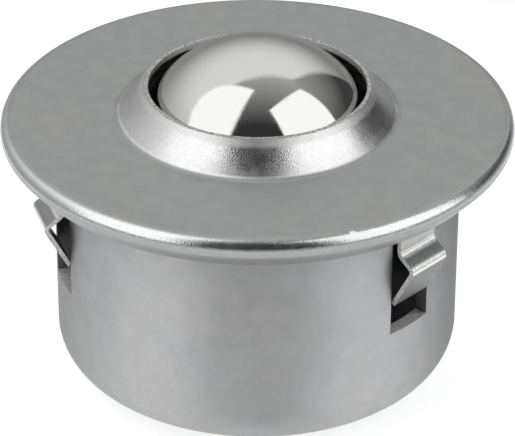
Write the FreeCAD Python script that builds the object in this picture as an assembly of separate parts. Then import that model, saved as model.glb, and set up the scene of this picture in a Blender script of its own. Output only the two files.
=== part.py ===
import FreeCAD, Part
import math
import os

# Ball transfer unit for a plate cut-out: a load ball that rolls every way on a bed of small balls.
# Millimetres, +Z up. The origin is the centre of the flat bottom, and the first clip stands on +X.

Vector = FreeCAD.Vector
Z_AXIS = Vector(0, 0, 1)

# Balls
load_ball_diameter = 22.225
support_ball_diameter = 3.175
ball_clearance = 0.02
ball_spacing = 0.03
support_ball_rings = 5
ball_protrusion = 6.55

# Sheet thicknesses: the collar is the cover, the cup's brim, the housing's flange and the hem
cover_sheet = 0.6
cup_sheet = 0.8
housing_sheet = 1.2

# Body and collar: the room between cup and wall gives a body of 36 mm, and the collar is 45.2 mm.
# The collar's edge tapers inward on its way down, by an angle from the vertical.
cup_wall_room = 1.6725
collar_overhang = 4.6
collar_top_height = 24.0
bottom_corner_radius = 3.65
flange_bend_radius = 0.5
cup_bend_radius = 0.5
collar_edge_radius = 1.0
collar_edge_taper = 43.0
hem_edge_radius = 0.7
hem_clip_gap = 0.8
layer_edge_gap = 0.05

# Cone of the cover around the load ball, with its slope from the vertical and its flat trimmed rim
cone_angle = 41.6
cone_height = 2.7
cone_ball_gap = 0.55
cone_foot_radius = 0.8
rim_land = 0.35

# Seal and retaining ring in the mouth of the cup
felt_height = 1.4
felt_ball_gap = 0.2
felt_fit_gap = 0.05
retainer_height = 0.5
retainer_ball_gap = 0.4

# Spring clips and the windows that they work through
clip_count = 3
clip_sheet = 0.4
clip_width = 4.4
clip_wall_gap = 0.2
clip_shoulder_drop = 3.0
clip_shoulder_angle = 35.0
clip_shoulder_length = 2.0
clip_leg_angle = 28.0
clip_leg_length = 4.72
clip_fold_radius = 0.5
clip_crest_radius = 0.75
clip_root_radius = 0.7
clip_head_width = 6.6
clip_head_length = 0.8
clip_head_seat_gap = 0.07
clip_head_lift_gap = 0.35
window_side_gap = 0.2
window_tip_gap = 2.9
window_flange_gap = 0.4

# Places that follow from these sizes
load_radius = load_ball_diameter / 2
support_radius = support_ball_diameter / 2
orbit_radius = load_radius + ball_clearance + support_radius
cup_radius = orbit_radius + support_radius + ball_clearance
body_radius = cup_radius + cup_sheet + cup_wall_room + housing_sheet
collar_radius = body_radius + collar_overhang
ball_center_z = collar_top_height + ball_protrusion - load_radius
brim_top_z = collar_top_height - cover_sheet
flange_top_z = brim_top_z - cup_sheet
hem_top_z = flange_top_z - housing_sheet
collar_bottom_z = hem_top_z - cover_sheet
clip_outer_radius = body_radius + clip_wall_gap + clip_sheet


def direction(start, end):
    """Unit vector in the section plane from one (radius, height) point to the next."""
    length = math.dist(start, end)
    return ((end[0] - start[0]) / length, (end[1] - start[1]) / length)


def cross(a, b):
    return a[0] * b[1] - a[1] * b[0]


def polar_step(start, angle, length):
    """The point at a length from start, with the angle in degrees from straight outward."""
    turn = math.radians(angle)
    return (start[0] + length * math.cos(turn), start[1] + length * math.sin(turn))


def in_plane(point):
    """A (radius, height) point as a vector in the XZ plane."""
    return Vector(point[0], 0, point[1])


def mitred_offset(points, distance):
    """An open run of straight lines moved sideways to its left, with mitred corners."""
    moved = []
    for i, point in enumerate(points):
        before = direction(points[max(i - 1, 0)], points[max(i, 1)])
        after = direction(points[min(i, len(points) - 2)], points[min(i + 1, len(points) - 1)])
        normal_before = (-before[1], before[0])
        normal_after = (-after[1], after[0])
        middle = (normal_before[0] + normal_after[0], normal_before[1] + normal_after[1])
        scale = 2 * distance / (middle[0] ** 2 + middle[1] ** 2)
        moved.append((point[0] + middle[0] * scale, point[1] + middle[1] * scale))
    return moved


def rounded_edges(points, radii):
    """Lines through the points, with each inner corner rounded to its radius."""
    edges = []
    start = points[0]
    for i, radius in enumerate(radii):
        corner = points[i + 1]
        arriving = direction(points[i], corner)
        leaving = direction(corner, points[i + 2])
        half_turn = math.atan2(abs(cross(arriving, leaving)),
                               arriving[0] * leaving[0] + arriving[1] * leaving[1]) / 2
        setback = radius * math.tan(half_turn)
        first = (corner[0] - arriving[0] * setback, corner[1] - arriving[1] * setback)
        last = (corner[0] + leaving[0] * setback, corner[1] + leaving[1] * setback)
        inward = direction(arriving, leaving)
        depth = radius / math.cos(half_turn) - radius
        middle = (corner[0] + inward[0] * depth, corner[1] + inward[1] * depth)
        if math.dist(start, first) > 1e-6:
            edges.append(Part.LineSegment(in_plane(start), in_plane(first)).toShape())
        edges.append(Part.Arc(in_plane(first), in_plane(middle), in_plane(last)).toShape())
        start = last
    edges.append(Part.LineSegment(in_plane(start), in_plane(points[-1])).toShape())
    return edges


def folded_section(points, radii, thickness):
    """Section of a folded or drawn sheet: one skin as given, the other at a thickness to its left.

    A negative thickness puts the other skin on the right.
    """
    other = mitred_offset(points, thickness)
    other_radii = []
    for i, radius in enumerate(radii):
        turn = cross(direction(points[i], points[i + 1]), direction(points[i + 1], points[i + 2]))
        other_radii.append(radius - math.copysign(thickness, thickness * turn))
    edges = rounded_edges(points, radii) + rounded_edges(other, other_radii)
    for a, b in ((points[0], other[0]), (points[-1], other[-1])):
        edges.append(Part.LineSegment(in_plane(a), in_plane(b)).toShape())
    return Part.Face(Part.Wire(Part.__sortEdges__(edges)))


def turned(section):
    """A section in the XZ plane turned all round the Z axis."""
    return section.revolve(Vector(0, 0, 0), Z_AXIS, 360)


def flat_ring(inner_radius, outer_radius, bottom, height):
    ring = Part.makeCylinder(outer_radius, height, Vector(0, 0, bottom))
    return ring.cut(Part.makeCylinder(inner_radius, height, Vector(0, 0, bottom)))


def block(radius_low, radius_high, width, bottom, top):
    """A box that reaches outward along +X and lies evenly about that axis."""
    corner = Vector(radius_low, -width / 2, bottom)
    return Part.makeBox(radius_high - radius_low, width, top - bottom, corner)


def around(shape, number):
    """A copy of a shape made on +X, at its place in the pattern of clips."""
    copy = shape.copy()
    copy.rotate(Vector(0, 0, 0), Z_AXIS, number * 360 / clip_count)
    return copy


def ball_radius_at(height):
    """Radius of the load ball's circle at a height."""
    return math.sqrt(load_radius ** 2 - (height - ball_center_z) ** 2)


def edge_radius_at(height, depth):
    """Radius of the collar's tapered edge at a height, at a depth under its outer skin."""
    taper = math.radians(collar_edge_taper)
    drop = collar_top_height - collar_edge_radius - height
    reach = (collar_edge_radius - depth - drop * math.sin(taper)) / math.cos(taper)
    return collar_radius - collar_edge_radius + reach


def layer_radius():
    """Outer radius of the brim and the flange, inside the collar's tapered edge."""
    return edge_radius_at(hem_top_z, cover_sheet) - layer_edge_gap


def top_cover():
    """Pressed cover: cone with a trimmed rim, flat collar and an edge folded under the flange."""
    slope = math.radians(cone_angle)
    line_distance = load_radius + cone_ball_gap + cover_sheet
    rise = collar_top_height - ball_center_z
    foot_radius = (line_distance - rise * math.sin(slope)) / math.cos(slope)
    rim_z = collar_top_height + cone_height
    rim_radius = foot_radius - cone_height * math.tan(slope)
    skin = [
        polar_step((rim_radius, rim_z), 90 + cone_angle, 2 * cover_sheet),
        (foot_radius, collar_top_height),
        (edge_radius_at(collar_top_height, 0), collar_top_height),
        (edge_radius_at(collar_bottom_z, 0), collar_bottom_z),
        (clip_outer_radius + hem_clip_gap, collar_bottom_z),
    ]
    radii = [cone_foot_radius, collar_edge_radius, hem_edge_radius]
    cover = turned(folded_section(skin, radii, -cover_sheet))
    opening = Part.makeCylinder(rim_radius - rim_land, collar_top_height, Vector(0, 0, collar_bottom_z))
    trim = Part.makeCylinder(collar_radius, collar_top_height, Vector(0, 0, rim_z))
    return cover.cut(opening).cut(trim)


def clip_skin():
    """Outer skin of a clip as (radius, height) points, from its head to its free end."""
    head_top = flange_top_z - clip_head_lift_gap
    bend_center = (body_radius + flange_bend_radius, hem_top_z - flange_bend_radius)
    seat_radius = flange_bend_radius + housing_sheet + clip_head_seat_gap
    seat_rise = head_top - clip_sheet - bend_center[1]
    head_radius = bend_center[0] - math.sqrt(seat_radius ** 2 - seat_rise ** 2)
    fold = (clip_outer_radius, collar_bottom_z - clip_shoulder_drop)
    crest = polar_step(fold, -clip_shoulder_angle, clip_shoulder_length)
    tip = polar_step(crest, -90 - clip_leg_angle, clip_leg_length)
    return [(head_radius - clip_head_length, head_top), (clip_outer_radius, head_top), fold, crest, tip]


def window():
    """Tool for one window: it runs up the wall, round the bend and a little into the flange."""
    tip = clip_skin()[-1]
    return block(cup_radius, clip_outer_radius + window_flange_gap, clip_width + 2 * window_side_gap,
                 tip[1] - window_tip_gap, brim_top_z)


def housing():
    """Drawn cup with an outward flange and a window for each clip."""
    skin = [(0, 0), (body_radius, 0), (body_radius, hem_top_z), (layer_radius(), hem_top_z)]
    shell = turned(folded_section(skin, [bottom_corner_radius, flange_bend_radius], housing_sheet))
    for number in range(clip_count):
        shell = shell.cut(around(window(), number))
    return shell


def ball_cup():
    """Hardened bowl that the support balls run in, with its brim clamped in the collar."""
    bottom = ball_center_z - cup_radius
    skin = [(0, bottom), (cup_radius, bottom), (cup_radius, brim_top_z), (layer_radius(), brim_top_z)]
    return turned(folded_section(skin, [cup_radius, cup_bend_radius + cup_sheet], -cup_sheet))


def felt_seal():
    """Felt ring that wipes the load ball, under the cover."""
    bottom = brim_top_z - felt_fit_gap - felt_height
    return flat_ring(ball_radius_at(bottom) + felt_ball_gap, cup_radius - felt_fit_gap, bottom, felt_height)


def retaining_ring():
    """Ring in the mouth of the cup that keeps the support balls in."""
    bottom = brim_top_z - 2 * felt_fit_gap - felt_height - retainer_height
    return flat_ring(ball_radius_at(bottom) + retainer_ball_gap, cup_radius - ball_clearance, bottom,
                     retainer_height)


def support_balls(ring):
    """One ring of support balls, counted from the single ball at the bottom of the cup."""
    half_pitch = (support_ball_diameter + ball_spacing) / 2
    tilt = ring * 2 * math.asin(half_pitch / orbit_radius)
    ring_radius = orbit_radius * math.sin(tilt)
    count = int(math.pi / math.asin(support_radius / ring_radius)) if ring else 1
    balls = []
    for number in range(count):
        heading = 2 * math.pi * number / count
        center = Vector(ring_radius * math.cos(heading), ring_radius * math.sin(heading),
                        ball_center_z - orbit_radius * math.cos(tilt))
        balls.append(Part.makeSphere(support_radius, center))
    return Part.makeCompound(balls)


def spring_clip():
    """Spring strip on +X: a T head inside the bend, a leg down the wall, a shoulder and a free end."""
    skin = clip_skin()
    section = folded_section(skin, [clip_root_radius, clip_fold_radius, clip_crest_radius], -clip_sheet)
    section.translate(Vector(0, -clip_width / 2, 0))
    strip = section.extrude(Vector(0, clip_width, 0))
    head_start, head_top = skin[0]
    head_radius = head_start + clip_head_length
    head = block(head_start, head_radius, clip_head_width, head_top - clip_sheet, head_top)
    head = head.common(Part.makeCylinder(head_radius, collar_top_height))
    return strip.fuse(head).removeSplitter()


def export(shape, name):
    shape.exportStep(os.path.join("parts", name + ".step"))


def main():
    os.makedirs("parts", exist_ok=True)
    export(top_cover(), "top_cover")
    export(housing(), "housing")
    export(ball_cup(), "ball_cup")
    export(felt_seal(), "felt_seal")
    export(retaining_ring(), "retaining_ring")
    export(Part.makeSphere(load_radius, Vector(0, 0, ball_center_z)), "load_ball")
    for ring in range(support_ball_rings + 1):
        export(support_balls(ring), "support_balls_row_" + str(ring + 1))
    clip = spring_clip()
    for number in range(clip_count):
        export(around(clip, number), "clip_" + str(number + 1))


main()
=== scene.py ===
import math

import bpy
from mathutils import Matrix, Vector


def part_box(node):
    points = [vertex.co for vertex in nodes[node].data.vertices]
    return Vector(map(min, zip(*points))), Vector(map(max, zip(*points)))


# Gives the ball transfer unit its finishes, and sets up the studio and the camera.

MM = 0.001
UP = (0, 0, 1)

# Camera: it stands at this angle, anticlockwise from +X, and looks at a point close to the part's axis.
# Its angles are in degrees, its lens and sensor in millimetres.
CAMERA_ANGLE = -47.6
CAMERA_ELEVATION = 30.424
CAMERA_ROLL = 0.245
CAMERA_DISTANCE = 285.48 * MM
AIM_HEIGHT = 13.11 * MM
AIM_RIGHT = 0.046 * MM
LENS = 222.8
SENSOR = 36.0
VIEW_START = 10 * MM
VIEW_END = 20.0

# Studio: panels as the ball mirrors them. A corner is its azimuth from the camera, positive to the
# camera's right, and its elevation, both in degrees. So are the borders, over which a panel fades out.
PANEL_CENTER = Vector((0, 0, 19.4 * MM))
SOFTBOX_DISTANCE = 0.6
SHADE_DISTANCE = 0.9
LEFT_BORDER = 4.0
RIGHT_BORDER = 2.0
SHADE_BORDER = 8.0
RIGHT_SHADE_BORDER = 5.0
LEFT_SOFTBOX = [(-104, 86), (-114, 66), (-110, 56), (-102, 46), (-93, 38), (-84, 31), (-80, 20),
                (-77, 3), (-32, 3), (-36, 45), (-38, 62), (-47, 77)]
RIGHT_SOFTBOX = [(110, 56), (76, 68), (32, 69), (34, 57), (35, 45), (36, 3), (94, 3), (97, 26),
                 (102, 39), (106, 48)]
FRONT_SHADE = [(-32, 3), (-36, 45), (-38, 62), (-47, 77), (-104, 86), (29, 69), (33, 57), (34, 45),
               (36, 3)]
CEILING = [(-104, 86), (-113, 68), (-139, 76), (180, 78), (151, 74), (137, 68), (127, 60), (109, 57),
           (76, 68), (29, 69)]
RIGHT_SHADE = [(109, 57), (127, 58), (130, 49), (135, 37), (139, 26), (142, 16), (146, 3), (96, 3),
               (96, 26), (100, 43)]

# Levels of light. A shade's level has a slope toward the camera, the right shade's upward, and a least
# value.
SOFTBOX_LEVEL = 1.51
SHADE_LEVEL = 0.36
SHADE_SLOPE = -0.60
SHADE_LEAST = 0.045
RIGHT_SHADE_LEVEL = -0.14
RIGHT_SHADE_SLOPE = 0.70
RIGHT_SHADE_LEAST = 0.07

# The sky brightens from the horizon up to SKY_START, the sine of an elevation. At the horizon, the tilt
# makes it darker to the camera's right.
HORIZON_LEVEL = 0.37
HORIZON_TILT = 0.09
SKY_LEVEL = 1.03
SKY_START = 0.76

# The floor is white up to the first radius and dark from the second
FLOOR_RADIUS = 4.0
FLOOR_CORNERS = 96
FLOOR_WHITE_RADIUS = 55 * MM
FLOOR_DARK_RADIUS = 115 * MM
FLOOR_GLOW = 0.66
FLOOR_DARK = 0.35
FLOOR_COLOR = (0.60, 0.60, 0.60)
FLOOR_DROP = 0.01 * MM

# Radii and heights of the sheet metal, in millimetres
COLLAR_TOP = 24.0
RIM_TOP = 26.7
WALL_RADIUS = 18.0
STRIP_RADIUS = 19.0
CLIP_FOLD = 17.8
CLIP_CREST = 16.6

# Where one finish goes over into the next: for ROLL_START between two radii, otherwise between heights
ROLL_START = (21.85, 22.20)
# Below ROLL_SIDE the rolled edge turns rougher and takes its painted shade
ROLL_SIDE = (22.80, 23.42)
CONE_START = (COLLAR_TOP + 0.06, COLLAR_TOP + 0.20)
CONE_FOOT = (COLLAR_TOP + 0.4, COLLAR_TOP + 1.3)
CONE_TOP = (RIM_TOP - 0.75, RIM_TOP - 0.35)
RIM_LAND = (RIM_TOP - 0.06, RIM_TOP - 0.02)
WINDOW_BOTTOM = (9.4, 9.5)
WINDOW_TOP = (21.0, 21.1)
LEG_TOP = (CLIP_CREST - 0.5, CLIP_CREST - 0.3)

# A small nick in the rolled edge, drawn as a painted glint, in millimetres
NICK = (19.88, -9.97, 23.77)
NICK_RADIUS = 0.45

# Sharp edges are shaded as if they had these radii, in millimetres
SHEET_EDGE = 0.05
STRIP_EDGE = 0.04

# Colours, and pairs of colours that a finish wavers between
COLLAR_COLORS = ((0.344, 0.360, 0.355, 1), (0.357, 0.363, 0.355, 1))
RIM_COLORS = ((0.26, 0.25, 0.24, 1), (0.60, 0.60, 0.59, 1))
WALL_COLORS = ((0.508, 0.532, 0.536, 1), (0.528, 0.531, 0.527, 1))
SHEARED_COLORS = ((0.50, 0.492, 0.482, 1), (0.80, 0.79, 0.775, 1))
STRIP_COLORS = ((0.41, 0.422, 0.418, 1), (0.44, 0.438, 0.426, 1))
CUT_COLORS = ((0.44, 0.435, 0.425, 1), (0.76, 0.75, 0.735, 1))
BALL_COLORS = ((0.60, 0.60, 0.595, 1), (0.63, 0.625, 0.615, 1))
HARDENED_COLORS = ((0.20, 0.20, 0.205, 1), (0.28, 0.275, 0.27, 1))
FELT_COLORS = ((0.05, 0.047, 0.043, 1), (0.13, 0.12, 0.11, 1))
# The rolled edge: a polished crest with a painted highlight, and painted shade on its underside
ROLL_POLISH_AND_HIGHLIGHT_COLOR = (0.64, 0.65, 0.645, 1)
UNDER_ROLL_PAINTED_SHADE_COLOR = (0.38, 0.39, 0.388, 1)
CONE_COLOR = (0.65, 0.655, 0.65, 1)
NICK_GLINT_COLOR = (0.97, 0.97, 0.97, 1)
# Painted shade on the clip's shoulder, between its bends
SHOULDER_SHADE_COLOR = (0.31, 0.32, 0.315, 1)
# Painted shade on the clip's leg, a darker copy of the strip
LEG_SHADE_COLOR = (0.140, 0.143, 0.142, 1)
# Painted highlight along the clip's fold and crest
BEND_HIGHLIGHT_COLOR = (0.80, 0.80, 0.79, 1)
COLLAR_CONTRAST = 0.040
WALL_CONTRAST = 0.030

# Roughness, and pairs that it wavers between
BALL_ROUGHNESS = (0.04, 0.09)
HARDENED_ROUGHNESS = (0.35, 0.5)
WALL_ROUGHNESS = (0.53, 0.57)
COLLAR_ROUGHNESS = 0.40
ROLL_ROUGHNESS = 0.21
UNDER_ROLL_ROUGHNESS = 0.45
CONE_ROUGHNESS = 0.22
CONE_TOP_ROUGHNESS = 0.40
CONE_FOOT_ROUGHNESS = 0.30
NICK_ROUGHNESS = 0.5
SHEARED_ROUGHNESS = 0.5
STRIP_ROUGHNESS = 0.20
LEG_ROUGHNESS = 0.30
CUT_ROUGHNESS = 0.45
FELT_ROUGHNESS = 0.9
ROUGHNESS_WAVER = 0.03

# Share of metal in the torn grain of sheared and cut edges, and the level of painted shade on the faces
# there that don't look up
SHEARED_METALLIC = 0.35
CUT_METALLIC = 0.4
SHEARED_PAINTED_SHADE = 0.32

# How far the wall is brushed, and how bright the wall and the balls mirror at a grazing angle
WALL_BRUSH = 0.80
WALL_EDGE = 0.40
BALL_EDGE = 0.75

# Half the height of the clip's bends, with their painted highlights, and of its shoulder, with its painted
# shade, in millimetres
FOLD_HALF = 0.35
CREST_HALF = 0.38
SHOULDER_HALF = 0.75

# Torn streaks and rolling lines: the share of the way through the sheet and along the strip that counts
STREAK_STRETCH = 0.25
LINE_STRETCH = 0.08
LINE_LEVELS = (0.94, 1.05)
SPARKLE_LEVELS = (0.94, 1.12)

# Depths of the fine grain, in millimetres
COLLAR_GRAIN = 0.0010
ROLL_GRAIN = 0.012
UNDER_ROLL_GRAIN = 0.005
CONE_GRAIN = 0.014
STRIP_GRAIN = 0.003
BEND_GRAIN = 0.030

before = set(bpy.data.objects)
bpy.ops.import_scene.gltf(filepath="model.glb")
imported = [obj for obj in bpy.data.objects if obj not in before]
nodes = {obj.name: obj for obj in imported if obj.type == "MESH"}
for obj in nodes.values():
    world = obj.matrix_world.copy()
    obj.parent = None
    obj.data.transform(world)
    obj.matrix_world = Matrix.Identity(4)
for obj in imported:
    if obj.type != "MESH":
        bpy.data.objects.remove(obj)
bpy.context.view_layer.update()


def toward(azimuth, elevation):
    """Unit vector for an azimuth from the camera's side and an elevation, both in degrees."""
    turn = math.radians(CAMERA_ANGLE + azimuth)
    rise = math.radians(elevation)
    return Vector((math.cos(turn) * math.cos(rise), math.sin(turn) * math.cos(rise), math.sin(rise)))


class Nodes:
    """Builds a node tree step by step. It takes values or sockets, and gives back sockets."""

    def __init__(self, tree):
        self.tree = tree

    def add(self, kind, **settings):
        made = self.tree.nodes.new(kind)
        for key, value in settings.items():
            setattr(made, key, value)
        return made

    def link(self, value, socket):
        if isinstance(value, bpy.types.NodeSocket):
            self.tree.links.new(value, socket)
        else:
            socket.default_value = value

    def math(self, operation, a, b=0.0):
        made = self.add("ShaderNodeMath", operation=operation)
        self.link(a, made.inputs[0])
        self.link(b, made.inputs[1])
        return made.outputs[0]

    def vector(self, operation, a, b=(0, 0, 0), scale=1.0):
        made = self.add("ShaderNodeVectorMath", operation=operation)
        self.link(a, made.inputs[0])
        if operation == "SCALE":
            self.link(scale, made.inputs["Scale"])
        elif operation not in ("NORMALIZE", "LENGTH"):
            self.link(b, made.inputs[1])
        return made.outputs["Value" if operation in ("DOT_PRODUCT", "LENGTH") else "Vector"]

    def combine(self, x, y, z):
        made = self.add("ShaderNodeCombineXYZ")
        for value, socket in zip((x, y, z), made.inputs):
            self.link(value, socket)
        return made.outputs[0]

    def split(self, vector):
        made = self.add("ShaderNodeSeparateXYZ")
        self.link(vector, made.inputs[0])
        return made.outputs

    def remap(self, value, low, high, to_low=0.0, to_high=1.0):
        """Goes softly from to_low to to_high while the value goes from low to high."""
        made = self.add("ShaderNodeMapRange", interpolation_type="SMOOTHSTEP")
        self.link(value, made.inputs["Value"])
        self.link(low, made.inputs["From Min"])
        self.link(high, made.inputs["From Max"])
        self.link(to_low, made.inputs["To Min"])
        self.link(to_high, made.inputs["To Max"])
        return made.outputs["Result"]


class Surface(Nodes):
    """The finish of a piece. Its points are in the row frame, in millimetres."""

    def __init__(self, name):
        self.material = bpy.data.materials.new(name)
        self.material.use_nodes = True
        super().__init__(self.material.node_tree)
        self.shader = self.tree.nodes["Principled BSDF"]
        coordinates = self.add("ShaderNodeTexCoord")
        self.face_normal = coordinates.outputs["Normal"]
        self.point = self.vector("SCALE", coordinates.outputs["Object"], scale=1 / MM)
        self.x, self.y, self.z = self.split(self.point)
        self.radius = self.math("SQRT", self.math("ADD", self.math("MULTIPLY", self.x, self.x),
                                                  self.math("MULTIPLY", self.y, self.y)))

    def noise(self, size, detail=2.0, place=None):
        """Noise from 0 to 1 whose patches are about that many millimetres across."""
        made = self.add("ShaderNodeTexNoise")
        self.link(self.point if place is None else place, made.inputs["Vector"])
        self.link(1 / size, made.inputs["Scale"])
        self.link(detail, made.inputs["Detail"])
        return made.outputs["Fac"]

    def waver(self, noise, low, high):
        """A number that goes from low to high over the middle part of a noise."""
        return self.remap(noise, 0.3, 0.7, low, high)

    def blend(self, factor, a, b):
        """Colour a where the factor is 0 and colour b where it is 1."""
        made = self.add("ShaderNodeMix", data_type="RGBA")
        self.link(factor, made.inputs[0])
        self.link(a, made.inputs[6])
        self.link(b, made.inputs[7])
        return made.outputs[2]

    def mix(self, factor, a, b):
        """Number a where the factor is 0 and number b where it is 1."""
        made = self.add("ShaderNodeMix", data_type="FLOAT")
        self.link(factor, made.inputs[0])
        self.link(a, made.inputs[2])
        self.link(b, made.inputs[3])
        return made.outputs[0]

    def patches(self, noise, colors):
        """Patches of two colours with soft borders."""
        return self.blend(self.remap(noise, 0.35, 0.65), *colors)

    def band(self, value, middle, half_width):
        """1 in the middle of a band of values, fading to 0 at its borders."""
        away = self.math("ABSOLUTE", self.math("SUBTRACT", value, middle))
        return self.remap(away, half_width * 0.5, half_width, 1.0, 0.0)

    def spot(self, place, radius):
        """1 at a place, fading to 0 at that many millimetres from it."""
        away = self.vector("SUBTRACT", self.point, place)
        distance = self.math("SQRT", self.vector("DOT_PRODUCT", away, away))
        return self.remap(distance, radius * 0.6, radius, 1.0, 0.0)

    def arc(self, radius):
        """The way along the round at that radius, in millimetres."""
        return self.math("MULTIPLY", self.math("ARCTAN2", self.y, self.x), radius)

    def outward(self):
        """The level direction away from the axis."""
        return self.vector("NORMALIZE", self.combine(self.x, self.y, 0.0))

    def around(self):
        """The level direction along the round."""
        return self.vector("NORMALIZE", self.combine(self.math("MULTIPLY", self.y, -1.0), self.x, 0.0))

    def alike(self, a, b):
        """1 where two directions lie along one line, and 0 where they are square to each other."""
        return self.math("ABSOLUTE", self.vector("DOT_PRODUCT", a, b))

    def soft_edges(self, radius):
        """The normal, as if the sharp edges had a small radius in millimetres."""
        made = self.add("ShaderNodeBevel", samples=4)
        self.link(radius * MM, made.inputs["Radius"])
        return made.outputs[0]

    def bump(self, height, depth, normal=None):
        """The normal over a relief as deep as depth, in millimetres."""
        made = self.add("ShaderNodeBump")
        self.link(height, made.inputs["Height"])
        varies = isinstance(depth, bpy.types.NodeSocket)
        self.link(self.math("MULTIPLY", depth, MM) if varies else depth * MM, made.inputs["Distance"])
        if normal is not None:
            self.link(normal, made.inputs["Normal"])
        return made.outputs[0]

    def turned(self, normal):
        """The normal as on a turned surface: its sideways part points straight out from the axis. On cut
        edges that face along the round, it stays as it is."""
        outward = self.outward()
        share = self.remap(self.alike(normal, self.around()), 0.15, 0.3, 1.0, 0.0)
        level = self.vector("SCALE", outward, scale=self.vector("DOT_PRODUCT", normal, outward))
        upright = self.combine(0.0, 0.0, self.vector("DOT_PRODUCT", normal, UP))
        exact = self.vector("NORMALIZE", self.vector("ADD", level, upright))
        return self.vector("NORMALIZE", self.blend(share, normal, exact))

    def round_about(self, place):
        """The normal as on a ball with its centre at that place."""
        normal = self.add("ShaderNodeVectorTransform", vector_type="NORMAL",
                          convert_from="OBJECT", convert_to="WORLD")
        self.link(self.vector("SUBTRACT", self.point, place), normal.inputs[0])
        return self.vector("NORMALIZE", normal.outputs[0])

    def brush(self, amount):
        """Fine lines round the part, which draw reflections out in height."""
        self.link(self.around(), self.shader.inputs["Tangent"])
        self.shader.inputs["Anisotropic"].default_value = amount
        self.shader.inputs["Anisotropic Rotation"].default_value = 0.25

    def finish(self, color, roughness, normal, metallic=1.0, edge=1.0):
        """Gives the shader its values. The edge is how bright the metal mirrors at a grazing angle."""
        self.link(color, self.shader.inputs["Base Color"])
        self.link(roughness, self.shader.inputs["Roughness"])
        self.link(metallic, self.shader.inputs["Metallic"])
        self.link((edge, edge, edge, 1), self.shader.inputs["Specular Tint"])
        self.link(normal, self.shader.inputs["Normal"])
        return self.material


class Glow(Nodes):
    """Material that sends out plain light. Its level has a slope toward a direction, and a least value."""

    def __init__(self, name, level, slope=0.0, direction=UP, least=0.0):
        self.material = bpy.data.materials.new(name)
        self.material.use_nodes = True
        super().__init__(self.material.node_tree)
        self.tree.nodes.clear()
        self.emission = self.add("ShaderNodeEmission")
        self.output = self.add("ShaderNodeOutputMaterial")
        self.link(self.emission.outputs[0], self.output.inputs["Surface"])
        if slope:
            along = self.vector("DOT_PRODUCT", self.vector("NORMALIZE", self.place()), direction)
            level = self.math("ADD", self.math("MULTIPLY", along, slope), level)
            level = self.math("MAXIMUM", level, least)
        self.link(level, self.emission.inputs["Strength"])

    def place(self):
        """The point that shines, in metres."""
        return self.add("ShaderNodeNewGeometry").outputs["Position"]

    def fade_out(self):
        """Makes the panel clear toward its border."""
        solid = self.add("ShaderNodeAttribute", attribute_name="solid")
        mixed = self.add("ShaderNodeMixShader")
        self.link(solid.outputs["Fac"], mixed.inputs["Fac"])
        self.link(self.add("ShaderNodeBsdfTransparent").outputs[0], mixed.inputs[1])
        self.link(self.emission.outputs[0], mixed.inputs[2])
        self.link(mixed.outputs[0], self.output.inputs["Surface"])


def zinc_color(s, colors, contrast):
    """Zinc plating: cool and warm patches some millimetres wide, with finer mottling over them."""
    color = s.patches(s.noise(size=7.0, detail=3.0), colors)
    mottle = s.waver(s.noise(size=1.6, detail=4.0), 1 - contrast, 1 + contrast)
    fine = s.waver(s.noise(size=0.35), -contrast / 2, contrast / 2)
    return s.vector("SCALE", color, scale=s.math("ADD", mottle, fine))


def wavering(s, roughness, size):
    """The roughness with a slight unevenness in patches of that size."""
    uneven = s.waver(s.noise(size, detail=3.0), -ROUGHNESS_WAVER, ROUGHNESS_WAVER)
    return s.math("ADD", roughness, uneven)


def cover_finish():
    """Plated cover: matt collar, rolled edge with painted highlight and shade, polished grained cone."""
    s = Surface("zinc_cover")
    on_cone = s.remap(s.z, *CONE_START)
    on_roll = s.remap(s.radius, *ROLL_START)
    under_roll = s.remap(s.z, *ROLL_SIDE, to_low=1.0, to_high=0.0)
    nick_glint = s.spot(NICK, NICK_RADIUS)
    grain = s.noise(size=0.13, detail=1.0)

    # Painted highlight on the polished upper roll, and painted shade on its underside
    roll = s.blend(under_roll, ROLL_POLISH_AND_HIGHLIGHT_COLOR, UNDER_ROLL_PAINTED_SHADE_COLOR)
    sparkle = s.remap(s.noise(size=0.09, detail=1.0), 0.4, 0.62, *SPARKLE_LEVELS)
    bright = s.vector("SCALE", s.blend(on_cone, roll, CONE_COLOR), scale=sparkle)
    collar = zinc_color(s, COLLAR_COLORS, COLLAR_CONTRAST)
    color = s.blend(s.math("MAXIMUM", on_cone, on_roll), collar, bright)
    rim = s.blend(s.remap(grain, 0.4, 0.6), *RIM_COLORS)
    color = s.blend(s.remap(s.z, *RIM_LAND), color, rim)
    # Painted glint where the nick catches the light
    color = s.blend(nick_glint, color, NICK_GLINT_COLOR)

    near_foot = s.remap(s.z, *CONE_FOOT, to_low=CONE_FOOT_ROUGHNESS, to_high=CONE_ROUGHNESS)
    near_top = s.remap(s.z, *CONE_TOP, to_low=CONE_ROUGHNESS, to_high=CONE_TOP_ROUGHNESS)
    roughness = s.mix(on_roll, COLLAR_ROUGHNESS, s.mix(under_roll, ROLL_ROUGHNESS, UNDER_ROLL_ROUGHNESS))
    roughness = s.mix(on_cone, roughness, s.math("MAXIMUM", near_top, near_foot))
    roughness = s.mix(nick_glint, wavering(s, roughness, size=0.8), NICK_ROUGHNESS)

    depth = s.mix(on_roll, COLLAR_GRAIN, s.mix(under_roll, ROLL_GRAIN, UNDER_ROLL_GRAIN))
    normal = s.turned(s.soft_edges(SHEET_EDGE))
    normal = s.bump(grain, s.mix(on_cone, depth, CONE_GRAIN), normal)
    normal = s.bump(s.noise(size=2.5), depth=0.003, normal=normal)
    return s.finish(color, roughness, normal)


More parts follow.
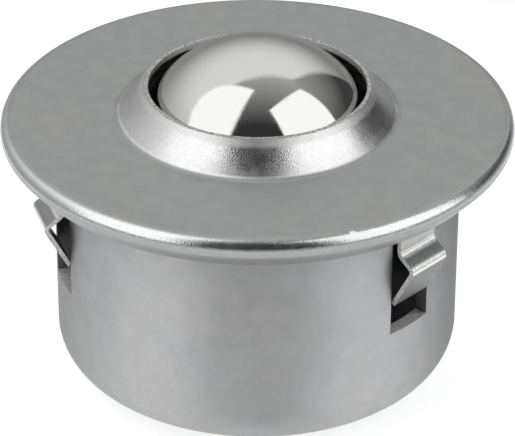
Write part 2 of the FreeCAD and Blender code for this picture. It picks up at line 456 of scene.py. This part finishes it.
def housing_finish():
    """Plated wall, brushed along the round, and streaky sheared edges in the windows, with painted shade.
    """
    s = Surface("zinc_housing")
    in_window = s.math("MULTIPLY", s.remap(s.z, *WINDOW_BOTTOM),
                       s.remap(s.z, *WINDOW_TOP, to_low=1.0, to_high=0.0))
    across = s.remap(s.alike(s.face_normal, s.outward()), 0.3, 0.5, to_low=1.0, to_high=0.0)
    sheared = s.math("MULTIPLY", across, in_window)
    through = s.math("MULTIPLY", s.radius, STREAK_STRETCH)
    streaks = s.noise(size=0.12, place=s.combine(s.arc(WALL_RADIUS), through, s.z))

    # Painted shade: sheared faces that don't look up are darker in colour, as if lit from above
    rise = s.vector("DOT_PRODUCT", s.face_normal, UP)
    level = s.remap(rise, 0.3, 0.8, to_low=SHEARED_PAINTED_SHADE, to_high=1.0)
    torn_with_painted_shade = s.vector("SCALE", s.patches(streaks, SHEARED_COLORS), scale=level)
    color = s.blend(sheared, zinc_color(s, WALL_COLORS, WALL_CONTRAST), torn_with_painted_shade)
    roughness = s.mix(sheared, s.waver(s.noise(size=3.0, detail=3.0), *WALL_ROUGHNESS), SHEARED_ROUGHNESS)

    normal = s.turned(s.soft_edges(SHEET_EDGE))
    normal = s.bump(s.noise(size=0.22, detail=1.0), depth=0.0018, normal=normal)
    normal = s.bump(s.noise(size=4.0), depth=0.006, normal=normal)
    normal = s.bump(s.math("MULTIPLY", streaks, sheared), depth=0.015, normal=normal)
    s.brush(WALL_BRUSH)
    metallic = s.mix(sheared, 1.0, SHEARED_METALLIC)
    return s.finish(color, roughness, normal, metallic, edge=WALL_EDGE)


def clip_finish():
    """Bright spring strip with rolling lines along it and matt cut edges, painted highlights at its bends
    and painted shade below them.
    """
    s = Surface("spring_strip")
    bend = s.math("MAXIMUM", s.band(s.z, CLIP_FOLD, FOLD_HALF), s.band(s.z, CLIP_CREST, CREST_HALF))
    shoulder = s.band(s.z, (CLIP_FOLD + CLIP_CREST) / 2, SHOULDER_HALF)
    leg = s.remap(s.z, *LEG_TOP, to_low=1.0, to_high=0.0)
    cut = s.remap(s.alike(s.face_normal, s.around()), 0.5, 0.7)
    along = s.math("MULTIPLY", s.z, LINE_STRETCH)
    lines = s.noise(size=0.10, place=s.combine(s.arc(STRIP_RADIUS), 0.0, along))

    strip = s.blend(s.noise(size=1.8, detail=3.0), *STRIP_COLORS)
    # Painted shade: the shoulder and the leg are darker copies of the strip
    strip = s.blend(leg, s.blend(shoulder, strip, SHOULDER_SHADE_COLOR), LEG_SHADE_COLOR)
    strip = s.vector("SCALE", strip, scale=s.waver(lines, *LINE_LEVELS))
    # Painted highlights along the fold and the crest
    color = s.blend(bend, strip, BEND_HIGHLIGHT_COLOR)
    color = s.blend(cut, color, s.patches(s.noise(size=0.15), CUT_COLORS))

    roughness = wavering(s, s.mix(leg, STRIP_ROUGHNESS, LEG_ROUGHNESS), size=0.7)
    roughness = s.mix(cut, roughness, CUT_ROUGHNESS)

    normal = s.bump(lines, depth=0.003, normal=s.soft_edges(STRIP_EDGE))
    normal = s.bump(s.noise(size=0.12, detail=1.0), s.mix(bend, STRIP_GRAIN, BEND_GRAIN), normal)
    return s.finish(color, roughness, normal, metallic=s.mix(cut, 1.0, CUT_METALLIC))


def ball_finish(name, middle=None):
    """Polished bearing steel: nearly a mirror, with a trace of waviness."""
    s = Surface(name)
    color = s.blend(s.noise(size=3.0), *BALL_COLORS)
    roughness = s.remap(s.noise(size=0.5, detail=4.0), 0.4, 0.7, *BALL_ROUGHNESS)
    smooth = None if middle is None else s.round_about(middle)
    normal = s.bump(s.noise(size=0.28), depth=0.00045, normal=smooth)
    return s.finish(color, roughness, normal, edge=BALL_EDGE)


def hardened_finish():
    """Dark hardened steel for the cup and the retaining ring."""
    s = Surface("hardened_steel")
    color = s.blend(s.noise(size=2.0, detail=3.0), *HARDENED_COLORS)
    roughness = s.waver(s.noise(size=0.6, detail=3.0), *HARDENED_ROUGHNESS)
    return s.finish(color, roughness, s.bump(s.noise(size=0.25), depth=0.003))


def felt_finish():
    """Oiled felt, dark, with short fibres."""
    s = Surface("oiled_felt")
    fibres = s.noise(size=0.12, detail=4.0)
    color = s.blend(fibres, *FELT_COLORS)
    return s.finish(color, FELT_ROUGHNESS, s.bump(fibres, depth=0.12), metallic=0.0)


def dress():
    """Gives every piece its finish."""
    polished = ball_finish("polished_steel")
    low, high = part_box("load_ball")
    ball_middle = [(a + b) / 2 / MM for a, b in zip(low, high)]
    hardened = hardened_finish()
    strip = clip_finish()
    finishes = {
        "top_cover": cover_finish(),
        "housing": housing_finish(),
        "ball_cup": hardened,
        "retaining_ring": hardened,
        "felt_seal": felt_finish(),
        "load_ball": ball_finish("polished_load_ball", ball_middle),
    }
    for name, piece in nodes.items():
        finish = finishes.get(name)
        if finish is None:
            finish = strip if name.startswith("clip_") else polished
        piece.data.materials.clear()
        piece.data.materials.append(finish)


def link_mesh(name, points, faces):
    """A mesh of the studio."""
    mesh = bpy.data.meshes.new(name)
    mesh.from_pydata(points, [], faces)
    made = bpy.data.objects.new(name, mesh)
    bpy.context.scene.collection.objects.link(made)
    return made


def panel(name, corners, distance, border, light):
    """A flat panel that covers these directions as seen from the part, with a border that fades out over
    some degrees. The camera itself doesn't see it."""
    directions = [toward(azimuth, elevation) for azimuth, elevation in corners]
    middle = sum(directions, Vector()).normalized()
    center = PANEL_CENTER + middle * distance
    inner = [PANEL_CENTER + d * (distance / d.dot(middle)) for d in directions]
    outer = []
    for point in inner:
        width = (point - PANEL_CENTER).length * math.radians(border)
        outer.append(point + (point - center).normalized() * width)
    count = len(corners)
    faces = [range(count)]
    faces += [(i, (i + 1) % count, count + (i + 1) % count, count + i) for i in range(count)]
    made = link_mesh(name, inner + outer, faces)
    solid = made.data.attributes.new("solid", "FLOAT", "POINT")
    solid.data.foreach_set("value", [1.0] * count + [0.0] * count)
    light.fade_out()
    made.data.materials.append(light.material)
    made.visible_camera = False


def floor():
    """White round the part, where it glows a little and keeps the soft shadow, and dark farther out."""
    turns = [2 * math.pi * i / FLOOR_CORNERS for i in range(FLOOR_CORNERS)]
    points = [(FLOOR_RADIUS * math.cos(t), FLOOR_RADIUS * math.sin(t), -FLOOR_DROP) for t in turns]
    made = link_mesh("floor", points, [range(FLOOR_CORNERS)])
    light = Glow("floor", FLOOR_GLOW)
    distance = light.vector("LENGTH", light.place())
    share = light.remap(distance, FLOOR_WHITE_RADIUS, FLOOR_DARK_RADIUS, to_low=1.0, to_high=FLOOR_DARK)
    light.link(light.math("MULTIPLY", share, FLOOR_GLOW), light.emission.inputs["Strength"])
    diffuse = light.add("ShaderNodeBsdfDiffuse")
    light.link(light.vector("SCALE", FLOOR_COLOR, scale=share), diffuse.inputs["Color"])
    both = light.add("ShaderNodeAddShader")
    light.link(light.emission.outputs[0], both.inputs[0])
    light.link(diffuse.outputs[0], both.inputs[1])
    light.link(both.outputs[0], light.output.inputs["Surface"])
    made.data.materials.append(light.material)


def sky():
    """Grey surroundings: darkest at the horizon, and darker to the camera's right than to its left."""
    world = bpy.data.worlds.new("studio")
    world.use_nodes = True
    made = Nodes(world.node_tree)
    direction = made.add("ShaderNodeTexCoord").outputs["Generated"]
    rightward = made.vector("DOT_PRODUCT", direction, toward(90, 0))
    horizon = made.math("ADD", made.math("MULTIPLY", rightward, -HORIZON_TILT), HORIZON_LEVEL)
    level = made.remap(made.split(direction)["Z"], 0.0, SKY_START, to_low=horizon, to_high=SKY_LEVEL)
    background = world.node_tree.nodes["Background"]
    made.link(level, background.inputs["Strength"])
    made.link((1, 1, 1, 1), background.inputs["Color"])
    bpy.context.scene.world = world


def studio():
    """The sky, the panels round the part and the floor."""
    sky()
    front = toward(0, 0)
    for name, corners in (("front_shade", FRONT_SHADE), ("ceiling", CEILING)):
        shade = Glow(name, SHADE_LEVEL, SHADE_SLOPE, front, SHADE_LEAST)
        panel(name, corners, SHADE_DISTANCE, SHADE_BORDER, shade)
    shade = Glow("right_shade", RIGHT_SHADE_LEVEL, RIGHT_SHADE_SLOPE, UP, RIGHT_SHADE_LEAST)
    panel("right_shade", RIGHT_SHADE, SHADE_DISTANCE, RIGHT_SHADE_BORDER, shade)
    for name, corners, border in (("left_softbox", LEFT_SOFTBOX, LEFT_BORDER),
                                  ("right_softbox", RIGHT_SOFTBOX, RIGHT_BORDER)):
        panel(name, corners, SOFTBOX_DISTANCE, border, Glow(name, SOFTBOX_LEVEL))
    floor()


def camera():
    """The camera as in the photo."""
    data = bpy.data.cameras.new("camera")
    data.lens = LENS
    data.sensor_width = SENSOR
    data.clip_start = VIEW_START
    data.clip_end = VIEW_END
    made = bpy.data.objects.new("camera", data)
    bpy.context.scene.collection.objects.link(made)
    back = toward(0, CAMERA_ELEVATION)
    aim = Vector((0, 0, AIM_HEIGHT)) + toward(90, 0) * AIM_RIGHT
    roll = Matrix.Rotation(math.radians(CAMERA_ROLL), 3, "Z")
    facing = (-back).to_track_quat("-Z", "Y").to_matrix() @ roll
    made.matrix_world = Matrix.Translation(aim + back * CAMERA_DISTANCE) @ facing.to_4x4()
    bpy.context.scene.camera = made


camera()
studio()
dress()
bpy.context.scene.view_settings.view_transform = "Standard"
